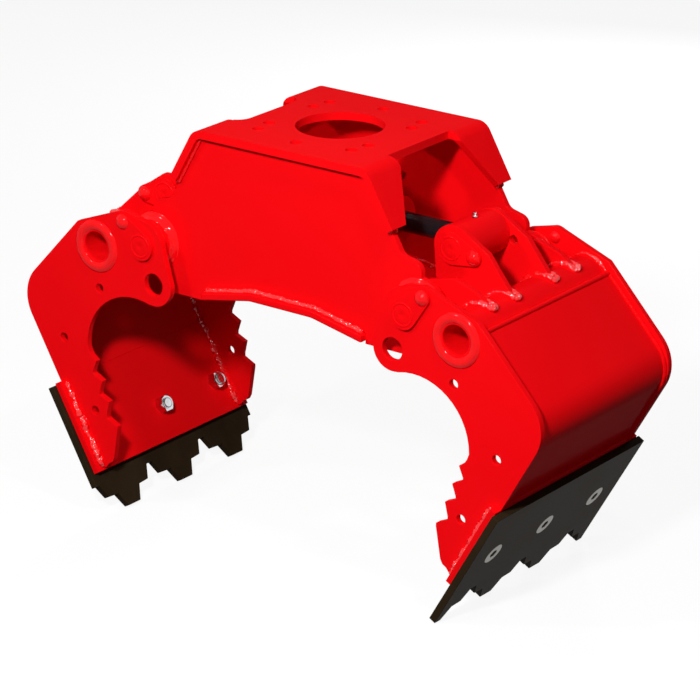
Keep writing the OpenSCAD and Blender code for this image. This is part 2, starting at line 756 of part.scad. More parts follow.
module barrel_cap() {
    red() from_left_pin() difference() {
        bar_x(barrel_d, eye_d / 4, barrel_base);
        bar_y([0, 0], eye_d, -barrel_d, barrel_d);
    }
}
gland_at = barrel_len - gland_len;
// Place of each port along the barrel, from its pin
port_x = [barrel_base + base_port_gap + port_d / 2, gland_at - port_gap - port_d / 2];
module barrel_tube() {
    red() from_left_pin() difference() {
        bar_x(barrel_d, barrel_base, gland_at);
        bar_x(barrel_bore_d, barrel_base - over, gland_at + over);
        each_port() cylinder(h = barrel_d, d = port_bore_d);
    }
}
module each_port() {
    for (i = [0 : len(port_x) - 1])
        translate([port_x[i], 0, 0]) rotate([port_turns[i], 0, 0]) children();
}
module barrel_gland() {
    red() from_left_pin() difference() {
        bar_x(barrel_d, gland_at, barrel_len);
        bar_x(rod_d + 2 * running_gap, gland_at - over, barrel_len + over);
    }
}
module barrel_ports() {
    red() from_left_pin() each_port() difference() {
        cylinder(h = barrel_d / 2 + port_h, d = port_d);
        bar_x(barrel_d, -port_d, port_d);
        cylinder(h = barrel_d + port_h, d = port_bore_d);
    }
}
module barrel_elbows() {
    red() from_left_pin() each_port() difference() {
        union() {
            translate([0, 0, barrel_d / 2 + port_h])
                cylinder(h = elbow_z + elbow_d / 2 - barrel_d / 2 - port_h, d = elbow_d);
            translate([0, 0, elbow_z]) bar_x(elbow_out_d, 0, elbow_reach);
        }
        translate([0, 0, elbow_z]) bar_x(elbow_bore_d, 0, elbow_reach + over);
        translate([0, 0, elbow_z]) bar_x(socket_d, elbow_reach - socket_len, elbow_reach + over);
        cylinder(h = elbow_z, d = elbow_bore_d);
    }
}
module rod_eye() { red() from_right_pin() eye_tube(); }
module rod_bush() { from_right_pin() eye_bush(); }
module rod_nipple() { from_right_pin() nipple(); }
module rod_shaft() {
    color([0.05, 0.05, 0.055]) from_right_pin() difference() {
        bar_x(rod_d, eye_d / 4, piston_at + piston_t);
        bar_y([0, 0], eye_d, -barrel_d, barrel_d);
    }
}
module rod_piston() {
    steel() from_right_pin() difference() {
        bar_x(barrel_bore_d - 2 * running_gap, piston_at, piston_at + piston_t);
        bar_x(rod_d, piston_at - over, piston_at + piston_t + over);
    }
}

top_plate();
body_side_front();
body_side_back();
arch_plate();
pivot_bosses();
pivot_bushes();
right_side_front();
right_side_back();
right_shell();
right_base_plate();
right_cutting_edge();
right_edge_bolts();
right_edge_nuts();
right_cross_tube();
right_lugs();
right_ears();
right_pivot_pins();
right_flags();
right_flag_bolts();
right_cylinder_pin();
right_cylinder_flag();
right_cylinder_bolt();
left_side_front();
left_side_back();
left_shell();
left_base_plate();
left_cutting_edge();
left_edge_bolts();
left_edge_nuts();
left_cross_tube();
left_lugs();
left_pivot_pins();
left_flags();
left_flag_bolts();
left_cylinder_pin();
left_cylinder_flag();
left_cylinder_bolt();
left_spacers();
barrel_tube();
barrel_eye();
barrel_cap();
barrel_bush();
barrel_gland();
barrel_ports();
barrel_elbows();
barrel_nipple();
rod_shaft();
rod_piston();
rod_eye();
rod_bush();
rod_nipple();
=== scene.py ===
"""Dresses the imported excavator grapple: rounded plate edges, weld beads, nuts and rings, and every finish.

The grapple is an arched body that carries two toothed jaws, with a level cylinder between them. X runs
from jaw to jaw, Z is up and -Y faces the camera. All sizes are metres.
"""

import logging
import math
import random
from dataclasses import dataclass
from enum import Enum
from typing import Any, Iterable, Optional, Union

import bmesh
import bpy
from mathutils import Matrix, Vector


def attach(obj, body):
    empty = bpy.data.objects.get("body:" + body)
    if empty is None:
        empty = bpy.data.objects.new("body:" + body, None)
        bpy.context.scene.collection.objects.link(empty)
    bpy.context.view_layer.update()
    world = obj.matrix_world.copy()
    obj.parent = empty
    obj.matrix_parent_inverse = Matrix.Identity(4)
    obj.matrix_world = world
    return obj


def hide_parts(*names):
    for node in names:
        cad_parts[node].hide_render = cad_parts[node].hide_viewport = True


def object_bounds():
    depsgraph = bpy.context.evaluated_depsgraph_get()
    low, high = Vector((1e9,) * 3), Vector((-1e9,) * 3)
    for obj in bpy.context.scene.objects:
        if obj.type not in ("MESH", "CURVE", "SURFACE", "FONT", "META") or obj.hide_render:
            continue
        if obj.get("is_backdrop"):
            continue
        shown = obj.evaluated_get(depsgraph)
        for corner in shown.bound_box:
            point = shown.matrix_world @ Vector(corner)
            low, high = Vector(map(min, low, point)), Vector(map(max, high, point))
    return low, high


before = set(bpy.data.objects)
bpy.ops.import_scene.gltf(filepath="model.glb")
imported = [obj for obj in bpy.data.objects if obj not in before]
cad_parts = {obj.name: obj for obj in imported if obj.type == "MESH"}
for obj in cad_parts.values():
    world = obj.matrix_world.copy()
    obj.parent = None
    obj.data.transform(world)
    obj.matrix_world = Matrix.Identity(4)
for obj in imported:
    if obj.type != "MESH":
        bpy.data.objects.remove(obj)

Colour = tuple[float, float, float]
Flat = tuple[float, float]
Space = tuple[float, float, float]
log = logging.getLogger("grapple")

X_WAY = Vector((1, 0, 0))
Y_WAY = Vector((0, 1, 0))
Z_WAY = Vector((0, 0, 1))

# Vertices nearer than this are one
MERGE = 1e-6

# Sizes that the sub-assemblies share: a jaw's main pivot as (x, z), its arm and its plates
PIVOT = (0.359, -0.282)
ARM = 0.099
PLATE = 0.015


# Shader nodes


class Socket:
    """A shader output that can be used in a Python expression."""

    def __init__(self, sheet: "NodeSheet", output: Optional[bpy.types.NodeSocket]) -> None:
        """Keeps the sheet that the output is drawn on."""
        self.sheet = sheet
        self.output = output

    def _math(self, operation: str, *values: Any) -> "Socket":
        """Adds the Math node that an operator stands for."""
        inputs = dict(enumerate(values))
        return self.sheet.add("ShaderNodeMath", {"operation": operation}, inputs)

    def __add__(self, other: Any) -> "Socket":
        """self + other"""
        return self._math("ADD", self, other)

    def __radd__(self, other: Any) -> "Socket":
        """other + self"""
        return self._math("ADD", other, self)

    def __mul__(self, other: Any) -> "Socket":
        """self * other"""
        return self._math("MULTIPLY", self, other)

    def __rmul__(self, other: Any) -> "Socket":
        """other * self"""
        return self._math("MULTIPLY", other, self)

    def highest(self, other: Any) -> "Socket":
        """The larger of the two."""
        return self._math("MAXIMUM", self, other)


class NodeSheet:
    """The node tree of one material or world, emptied and drawn anew."""

    white = (1.0, 1.0, 1.0, 1.0)
    noise_roughness = 0.55

    def __init__(self, tree: bpy.types.NodeTree) -> None:
        """Clears the tree."""
        self.tree = tree
        tree.nodes.clear()

    def add(
        self,
        kind: str,
        settings: Optional[dict[str, Any]] = None,
        inputs: Optional[dict[Union[int, str], Any]] = None,
        output: Union[int, str] = 0,
    ) -> Socket:
        """Adds one node.

        Args:
            kind: The node's type.
            settings: Its properties, set before its sockets.
            inputs: Values or links of its sockets, by name or number.
            output: The output to hand back.

        Returns:
            That output.
        """
        node = self.tree.nodes.new(kind)
        for key, value in (settings or {}).items():
            setattr(node, key, value)
        for key, value in (inputs or {}).items():
            if isinstance(value, Socket):
                self.tree.links.new(value.output, node.inputs[key])
            else:
                node.inputs[key].default_value = value
        chosen = node.outputs[output] if len(node.outputs) else None
        return Socket(self, chosen)

    def place(self) -> Socket:
        """The point on the piece, in its own coordinates."""
        return self.add("ShaderNodeTexCoord", output="Object")

    def noise(self, point: Socket, scale: float, detail: float = 2.0) -> Socket:
        """A cloudy value from 0 to 1 whose lumps are about 1 / scale across."""
        inputs = {"Vector": point, "Scale": scale, "Detail": detail, "Roughness": self.noise_roughness}
        return self.add("ShaderNodeTexNoise", None, inputs)

    def blend(self, share: Socket, low: Any, high: Any) -> Socket:
        """Mixes two colours by a share, through the Mix node's colour sockets."""
        factor, first, second, result = 0, 6, 7, 2
        settings = {"data_type": "RGBA", "clamp_factor": True}
        return self.add("ShaderNodeMix", settings, {factor: share, first: low, second: high}, result)

    def bump(self, height: Socket) -> Socket:
        """The normal, bent by a height in metres."""
        return self.add("ShaderNodeBump", None, {"Strength": 1.0, "Distance": 1.0, "Height": height})

    def finish(self, shader: Socket, target: str = "ShaderNodeOutputMaterial") -> None:
        """Links the shader to the sheet's output."""
        self.add(target, None, {"Surface": shader})


def solid(colour: Colour) -> tuple[float, float, float, float]:
    """A colour with its alpha."""
    return (*colour, 1.0)


# Finishes


@dataclass(frozen=True)
class Enamel:
    """Thick red enamel, satin with a faint orange peel on plates and glossy with lumps on welds."""

    name: str
    fresh: Colour = (0.86, 0.0035, 0.006)
    deep: Colour = (0.83, 0.0015, 0.004)
    roughness: float = 0.5
    specular: float = 0.0
    coat: float = 0.03
    coat_roughness: float = 0.18
    rough_swing: float = 0.08
    cloud_scale: float = 2.6
    streak_scale: float = 34.0
    streak_detail: float = 3.0
    peel_scale: float = 240.0
    peel_depth: float = 0.00006
    lump_scale: float = 90.0
    lump_detail: float = 1.0
    lump_depth: float = 0.0

    def material(self) -> bpy.types.Material:
        """Draws the material.

        Returns:
            The new material.
        """
        material = bpy.data.materials.new(self.name)
        material.use_nodes = True
        sheet = NodeSheet(material.node_tree)
        point = sheet.place()
        cloud = sheet.noise(point, self.cloud_scale)
        streak = sheet.noise(point, self.streak_scale, self.streak_detail)
        peel = sheet.noise(point, self.peel_scale)
        lumps = sheet.noise(point, self.lump_scale, self.lump_detail)
        inputs = {
            "Base Color": sheet.blend(cloud, solid(self.deep), solid(self.fresh)),
            "Roughness": streak * self.rough_swing + (self.roughness - self.rough_swing / 2),
            "Specular IOR Level": self.specular,
            "Coat Weight": self.coat,
            "Coat Roughness": self.coat_roughness,
            "Normal": sheet.bump(peel * self.peel_depth + lumps * self.lump_depth),
        }
        sheet.finish(sheet.add("ShaderNodeBsdfPrincipled", None, inputs))
        return material


@dataclass(frozen=True)
class Metal:
    """A bare or plated metal with a fine grain, a cloudy gloss and, on the rod, fine grooves."""

    name: str
    bright: Colour
    dull: Colour
    roughness: float
    metallic: float = 1.0
    specular: float = 0.5
    cloud_scale: float = 22.0
    cloud_detail: float = 4.0
    grain_scale: float = 900.0
    grain_depth: float = 0.00002
    rough_swing: float = 0.12
    groove_scale: float = 0.0
    groove_depth: float = 0.0

    def material(self) -> bpy.types.Material:
        """Draws the material.

        Returns:
            The new material.
        """
        material = bpy.data.materials.new(self.name)
        material.use_nodes = True
        sheet = NodeSheet(material.node_tree)
        point = sheet.place()
        cloud = sheet.noise(point, self.cloud_scale, self.cloud_detail)
        height = sheet.noise(point, self.grain_scale) * self.grain_depth
        if self.groove_depth:
            along = sheet.add("ShaderNodeVectorMath", {"operation": "MULTIPLY"}, {0: point, 1: X_WAY})
            height = height + sheet.noise(along, self.groove_scale) * self.groove_depth
        inputs = {
            "Base Color": sheet.blend(cloud, solid(self.dull), solid(self.bright)),
            "Metallic": self.metallic,
            "Roughness": cloud * self.rough_swing + (self.roughness - self.rough_swing / 2),
            "Specular IOR Level": self.specular,
            "Normal": sheet.bump(height),
        }
        sheet.finish(sheet.add("ShaderNodeBsdfPrincipled", None, inputs))
        return material


class Finish(Enum):
    """The finishes, each with the record's slot that it dresses."""

    PLATE = ("red_paint", Enamel("red_enamel_plate"))
    WELD = (
        "red_paint",
        Enamel(
            "red_enamel_weld",
            roughness=0.16,
            specular=0.6,
            coat=0.0,
            peel_depth=0.0001,
            lump_scale=85.0,
            lump_depth=0.0060,
        ),
    )
    SMOOTH_WELD = (
        "red_paint",
        Enamel("red_enamel_ring", coat=0.24, coat_roughness=0.09, lump_scale=60.0, lump_depth=0.0008),
    )
    WEAR = (
        "wear_steel",
        Metal(
            "worn_edge_steel",
            bright=(0.040, 0.025, 0.012),
            dull=(0.010, 0.006, 0.003),
            roughness=0.36,
            metallic=0.0,
            specular=0.006,
            cloud_scale=9.0,
            grain_scale=500.0,
            grain_depth=0.00005,
        ),
    )
    ZINC = (
        "zinc",
        Metal(
            "zinc_plate",
            bright=(0.86, 0.88, 0.92),
            dull=(0.50, 0.51, 0.53),
            roughness=0.14,
            cloud_scale=60.0,
        ),
    )
    HEAD = (
        "zinc",
        Metal(
            "bolt_head",
            bright=(0.20, 0.18, 0.15),
            dull=(0.10, 0.09, 0.07),
            roughness=0.3,
            metallic=0.7,
            specular=0.2,
        ),
    )
    PIN = (
        "pin_steel",
        Metal("ground_pin", bright=(0.66, 0.66, 0.68), dull=(0.52, 0.52, 0.54), roughness=0.24),
    )
    ROD = (
        "black_rod",
        Metal(
            "polished_rod_steel",
            bright=(0.012, 0.012, 0.014),
            dull=(0.006, 0.006, 0.007),
            roughness=0.06,
            metallic=0.0,
            grain_depth=0.000001,
            rough_swing=0.04,
            groove_scale=900.0,
            groove_depth=0.0002,
        ),
    )
    BRONZE = (
        "bronze",
        Metal("bearing_bronze", bright=(0.66, 0.45, 0.2), dull=(0.5, 0.32, 0.13), roughness=0.32),
    )

    @property
    def slot(self) -> str:
        """The record's material slot."""
        return self.value[0]

    @property
    def look(self) -> Union[Enamel, Metal]:
        """The finish itself."""
        return self.value[1]

    def material(self) -> bpy.types.Material:
        """The material, drawn once."""
        return bpy.data.materials.get(self.look.name) or self.look.material()


# Plane geometry of the outlines


def heading(degrees: float) -> Vector:
    """A unit vector in the XZ plane, as (x, z)."""
    turn = math.radians(degrees)
    return Vector((math.cos(turn), math.sin(turn)))


def meet(p: Vector, a: float, q: Vector, b: float) -> Vector:
    """Where the line through p with heading a meets the line through q with heading b."""
    u, v = heading(a), heading(b)
    return p + u * ((q - p).cross(v) / u.cross(v))


def rounded(corner: Vector, a: float, b: float, radius: float, steps: int = 10) -> list[Vector]:
    """Points of a rounded corner between two headings.

    Args:
        corner: Where the two lines would meet.
        a: Heading that comes in.
        b: Heading that goes out.
        radius: Radius of the bend.
        steps: Number of chords.

    Returns:
        The arc's points.
    """
    turn = (b - a + 180.0) % 360.0 - 180.0
    sign = math.copysign(1.0, turn)
    start = corner - heading(a) * radius * math.tan(math.radians(abs(turn) / 2))
    centre = start + heading(a + 90 * sign) * radius
    return [centre + radius * heading(a - 90 * sign + turn * i / steps) for i in range(steps + 1)]


def circle(centre: Vector, radius: float, steps: int = 48) -> list[Vector]:
    """Points of a full circle, without its end repeated."""
    return [centre + radius * heading(360.0 * i / steps) for i in range(steps)]


# Welds


@dataclass
class Run:
    """One stretch of weld: its line, and at each point a direction that is never along the line."""

    line: list[Vector]
    across: list[Vector]
    closed: bool = False
    fewest: int = 6

    @classmethod
    def beside(cls, line: list[Vector], way: Vector = Y_WAY, closed: bool = False) -> "Run":
        """A run whose cross direction is the same at every point."""
        return cls(line, [way] * len(line), closed)

    def stations(self, step: float) -> list[tuple[Vector, Vector, Vector, float]]:
        """Walks the line in even steps.

        Args:
            step: Distance from one station to the next.

        Returns:
            For each station its point, its two cross directions and its distance from the start.
        """
        line = self.line + [self.line[0]] if self.closed else self.line
        across = self.across + [self.across[0]] if self.closed else self.across
        lengths = [(b - a).length for a, b in zip(line, line[1:])]
        total = sum(lengths)
        count = max(self.fewest, round(total / step))
        walked, index, made = 0.0, 0, []
        for i in range(count if self.closed else count + 1):
            want = total * i / count
            while index < len(lengths) - 1 and want > walked + lengths[index]:
                walked += lengths[index]
                index += 1
            share = min(1.0, (want - walked) / max(lengths[index], MERGE))
            point = line[index].lerp(line[index + 1], share)
            side = across[index].lerp(across[index + 1], share)
            along = (line[index + 1] - line[index]).normalized()
            side = (side - along * side.dot(along)).normalized()
            made.append((point, side, along.cross(side), want))
        return made


@dataclass(frozen=True)
class Bead:
    """A weld bead's section, ripples and ends."""

    radius: float
    ripple: float = 0.12
    pitch: float = 0.0052
    wander: float = 0.05
    around: int = 8
    steps_a_ripple: int = 4
    ripple_mean: float = 0.6
    end_share: float = 1.1
    spare_cells: int = 3

    def lay(self, bm: bmesh.types.BMesh, run: Run, dice: random.Random) -> None:
        """Adds the bead along a run.

        Args:
            bm: The mesh that grows.
            run: The weld's line.
            dice: Seeded source of its unevenness.
        """
        spots = run.stations(self.pitch / self.steps_a_ripple)
        count = len(spots)
        total = spots[-1][3]
        cells = int(total / self.pitch) + self.spare_cells
        swell = [dice.uniform(-1.0, 1.0) for _ in range(cells)]
        drift = [dice.uniform(-1.0, 1.0) for _ in range(cells)]
        segments = count if run.closed else count - 1
        made = bmesh.ops.create_grid(bm, x_segments=segments, y_segments=self.around, size=1.0)["verts"]
        for vert in made:
            index = round((vert.co.x + 1) / 2 * segments) % count
            turn = (vert.co.y + 1) * math.pi
            point, side, lift, gone = spots[index]
            scale = gone / self.pitch
            cell, part = int(scale), scale % 1.0
            uneven = swell[cell] * (1 - part) + swell[cell + 1] * part
            shift = drift[cell] * (1 - part) + drift[cell + 1] * part
            wave = abs(math.sin(math.pi * scale)) - self.ripple_mean
            radius = self.radius * (1 + self.ripple * wave + self.wander * uneven)
            if not run.closed:
                edge = min(gone, total - gone) / (self.end_share * self.radius)
                radius *= math.sqrt(max(0.0, 1 - (1 - min(1.0, edge)) ** 2))
            centre = point + side * (shift * self.wander * self.radius)
            vert.co = centre + (side * math.cos(turn) + lift * math.sin(turn)) * radius
        bmesh.ops.remove_doubles(bm, verts=made, dist=MERGE)


# Pieces

# Degrees past which an edge stays sharp when it is shaded
CREASE = 34.0
# Degrees up to which two faces are one flat face
FLAT_ANGLE = 0.4
# Degrees past which a plate's edge is rounded
EDGE_ANGLE = 28.0
# Weight at which a large face sets the shading of its rounded edges
LARGE_FACES_LEAD = 100


def show(
    name: str, bm: bmesh.types.BMesh, body: str, finish: Finish, crease: float = CREASE, even: bool = False
) -> bpy.types.Object:
    """Turns a finished bmesh into a piece that rides on a body.

    Args:
        name: The piece's name.
        bm: Its mesh, which is freed.
        body: The CAD body it moves with.
        finish: Its finish.
        crease: Edges sharper than this, in degrees, stay sharp.
        even: Whether flat faces keep flat shading beside their rounded edges.

    Returns:
        The piece.
    """
    mesh = bpy.data.meshes.new(name)
    bm.to_mesh(mesh)
    bm.free()
    mesh.shade_smooth()
    mesh.set_sharp_from_angle(angle=math.radians(crease))
    mesh.materials.append(finish.material())
    piece = bpy.data.objects.new(name, mesh)
    bpy.context.scene.collection.objects.link(piece)
    if even:
        weighted = piece.modifiers.new("even", "WEIGHTED_NORMAL")
        weighted.keep_sharp = True
        weighted.weight = LARGE_FACES_LEAD
    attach(piece, body)
    log.info("%s: %d faces on %s", name, len(mesh.polygons), body)
    return piece


def round_edges(node: str, body: str, finish: Finish, width: float, segments: int = 2) -> bpy.types.Object:
    """Shows a CAD node as the same plate with its sharp edges rounded.

    Args:
        node: The CAD node that the piece stands for.
        body: Its body.
        finish: Its finish.
        width: Width of the rounding.
        segments: Steps of the rounding.

    Returns:
        The piece.
    """
    bm = bmesh.new()
    bm.from_mesh(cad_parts[node].data)
    bmesh.ops.remove_doubles(bm, verts=bm.verts, dist=MERGE)
    bmesh.ops.dissolve_limit(
        bm,
        angle_limit=math.radians(FLAT_ANGLE),
        use_dissolve_boundaries=False,
        verts=bm.verts,
        edges=bm.edges,
    )
    sharp = [e for e in bm.edges if e.is_manifold and e.calc_face_angle(0.0) > math.radians(EDGE_ANGLE)]
    bmesh.ops.bevel(
        bm,
        geom=sharp,
        offset=width,
        offset_type="OFFSET",
        segments=segments,
        profile=0.5,
        affect="EDGES",
        clamp_overlap=True,
        material=-1,
    )
    piece = show(f"{node}_rounded", bm, body, finish, even=True)
    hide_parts(node)
    return piece


def turn_profile(
    bm: bmesh.types.BMesh, profile: Iterable[Flat], centre: Vector, axis: Vector, steps: int = 56
) -> None:
    """Spins a profile of (radius, height) pairs round an axis.

    Args:
        bm: The mesh that grows.
        profile: The closed or axis-to-axis profile.
        centre: Where height 0 is on the axis.
        axis: Unit vector along the axis.
        steps: Steps of the spin.
    """
    aside = axis.orthogonal().normalized()
    verts = [bm.verts.new(centre + aside * r + axis * h) for r, h in profile]
    edges = [bm.edges.new(pair) for pair in zip(verts, verts[1:])]
    bmesh.ops.spin(
        bm, geom=verts + edges, cent=centre, axis=axis, angle=math.tau, steps=steps, use_merge=True
    )
    bmesh.ops.remove_doubles(bm, verts=bm.verts, dist=MERGE)


class Assembly:
    """Shared ways of the grapple's sub-assemblies."""

    body: str = "frame"

    def weld(
        self, name: str, runs: Iterable[Run], bead: Bead, finish: Finish = Finish.WELD, seed: int = 1
    ) -> bpy.types.Object:
        """Lays one bead along several runs and shows them as one piece.

        Args:
            name: The piece's name.
            runs: The weld's lines.
            bead: Its section.
            finish: Its finish.
            seed: Start of its unevenness.

        Returns:
            The piece.
        """
        bm = bmesh.new()
        dice = random.Random(seed)
        for run in runs:
            bead.lay(bm, run, dice)
        bmesh.ops.recalc_face_normals(bm, faces=bm.faces)
        return show(name, bm, self.body, finish, crease=75.0)

    def round_all(self, widths: dict[str, tuple[float, Finish]]) -> None:
        """Shows several CAD nodes with rounded edges.

        Args:
            widths: Each node's width of rounding and finish.
        """
        for node, (width, finish) in widths.items():
            round_edges(node, self.body, finish, width)

    def paint(self, finishes: dict[str, Finish]) -> None:
        """Gives CAD nodes that stay as they are their finish.

        Args:
            finishes: Each node's finish.
        """
        for node, finish in finishes.items():
            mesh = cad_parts[node].data
            mesh.materials.clear()
            mesh.materials.append(finish.material())
            mesh.shade_smooth()
            mesh.set_sharp_from_angle(angle=math.radians(CREASE))


@dataclass
class Body(Assembly):
    """The arched body: bent top plate, two side plates, arch plate and pivot bosses."""

    body: str = "frame"
    pivot: Flat = PIVOT
    top_thickness: float = 0.018
    top_corner: float = 0.234
    flap_length: float = 0.138
    flap_slope: float = 60.0
    bend_radius: float = 0.036
    side_y: float = 0.200
    side_inner_y: float = side_y - PLATE
    arch_flat: float = 0.086
    arch_half: float = 0.220
    arch_depth: float = 0.363
    arch_drop: float = 0.027
    arch_thickness: float = 0.018
    arch_bend: float = 0.090
    arch_bead: Bead = Bead(radius=0.0075, ripple=0.1)
    arch_bead_out: float = 0.003
    arch_bead_up: float = 0.0025
    arch_bead_short: float = 0.002
    top_bead: Bead = Bead(radius=0.0050, ripple=0.05)
    top_bead_gap: float = 0.0015
    top_bead_past: float = 0.006
    boss_reach: float = 0.0275
    boss_bead: Bead = Bead(radius=0.0026, ripple=0.03)
    boss_bead_radius: float = 0.0505
    boss_inner_radius: float = 0.0515
    boss_inner_gap: float = 0.001
    # Radius and height of the flare's hollow side, from the boss out to the side plate
    boss_flare: tuple[Flat, ...] = (
        (0.0495, 0.0145), (0.0508, 0.0142), (0.0520, 0.0105), (0.0540, 0.0070), (0.0568, 0.0042),
        (0.0600, 0.0022), (0.0632, 0.0010), (0.0650, -0.0008), (0.0495, -0.0008), (0.0495, 0.0145),
    )

    def build(self) -> None:
        """Builds and dresses the body."""
        self.round_all({
            "top_plate": (0.0042, Finish.PLATE),
            "body_side_front": (0.0016, Finish.PLATE),
            "body_side_back": (0.0016, Finish.PLATE),
            "arch_plate": (0.0040, Finish.PLATE),
            "pivot_bosses": (0.0016, Finish.PLATE),
        })
        self.paint({"pivot_bushes": Finish.BRONZE})
        self.arch_welds()
        self.top_welds()
        self.boss_welds()

    def side_runs(self, line: list[Vector], out: float, up: float) -> list[Run]:
        """Runs along both faces of both side plates.

        Args:
            line: The run's points in the XZ plane.
            out: Distance from the plate's face.
            up: Distance above the line.

        Returns:
            The four runs.
        """
        runs = []
        for face, way in ((self.side_y, 1), (self.side_inner_y, -1)):
            for side in (-1, 1):
                runs.append(Run.beside([Vector((p.x, side * (face + way * out), p.y + up)) for p in line]))
        return runs

    def arch_top_line(self) -> list[Vector]:
        """The arch plate's upper face.

        Returns:
            Its points in the XZ plane, from end to end.
        """
        slope = math.degrees(math.atan2(self.arch_drop, self.arch_half - self.arch_flat))
        corner = Vector((self.arch_flat, -self.arch_depth))
        half = rounded(corner, 0, -slope, self.arch_bend)
        half.append(Vector((self.arch_half - self.arch_bead_short, -self.arch_depth - self.arch_drop)))
        up = Vector((0, self.arch_thickness))
        right = [p + up for p in half]
        return [Vector((-p.x, p.y)) for p in reversed(right)] + right

    def arch_welds(self) -> None:
        """Beads where the arch plate meets both faces of the side plates."""
        runs = self.side_runs(self.arch_top_line(), self.arch_bead_out, self.arch_bead_up)
        self.weld("arch_welds", runs, self.arch_bead, seed=11)

    def top_under_line(self) -> list[Vector]:
        """The top plate's underside.

        Returns:
            Its points in the XZ plane, from flap end to flap end.
        """
        out = -self.flap_slope
        end = Vector((self.top_corner, 0)) + self.flap_length * heading(out)
        end_in = end + self.top_thickness * heading(out - 90)
        corner = meet(Vector((0, -self.top_thickness)), 0, end_in, out)
        half = rounded(corner, 0, out, self.bend_radius - self.top_thickness, steps=8)
        half.append(end_in + self.top_bead_past * heading(out))
        return [Vector((-p.x, p.y)) for p in reversed(half)] + half

    def top_welds(self) -> None:
        """Beads where the side plates meet the underside of the top plate and its flaps."""
        runs = self.side_runs(self.top_under_line(), self.top_bead_gap, -self.top_bead_gap)
        self.weld("top_plate_welds", runs, self.top_bead, Finish.SMOOTH_WELD, seed=12)

    def boss_welds(self) -> None:
        """Flares and beads round the pivot bosses, on both faces of the side plates."""
        bm = bmesh.new()
        runs = []
        rings = (
            (self.side_inner_y - self.boss_inner_gap, self.boss_inner_radius),
            (self.side_y + self.boss_reach, self.boss_bead_radius),
        )
        for end in (-1, 1):
            for side in (-1, 1):
                centre = Vector((end * self.pivot[0], side * self.side_y, self.pivot[1]))
                turn_profile(bm, self.boss_flare, centre, Vector((0, side, 0)))
                spot = Vector((centre.x, centre.z))
                for y, radius in rings:
                    line = [Vector((p.x, side * y, p.y)) for p in circle(spot, radius)]
                    runs.append(Run.beside(line, closed=True))
        bmesh.ops.recalc_face_normals(bm, faces=bm.faces)
        show("boss_flares", bm, self.body, Finish.SMOOTH_WELD, crease=60.0)
        self.weld("boss_rings", runs, self.boss_bead, Finish.SMOOTH_WELD, seed=13)


class Hand(Enum):
    """Which jaw: its name and the way it faces along X."""

    RIGHT = ("right", 1)
    LEFT = ("left", -1)

    @property
    def word(self) -> str:
        """What the names of its nodes start with."""
        return self.value[0]

    @property
    def side(self) -> int:
        """Its side along X."""
        return self.value[1]


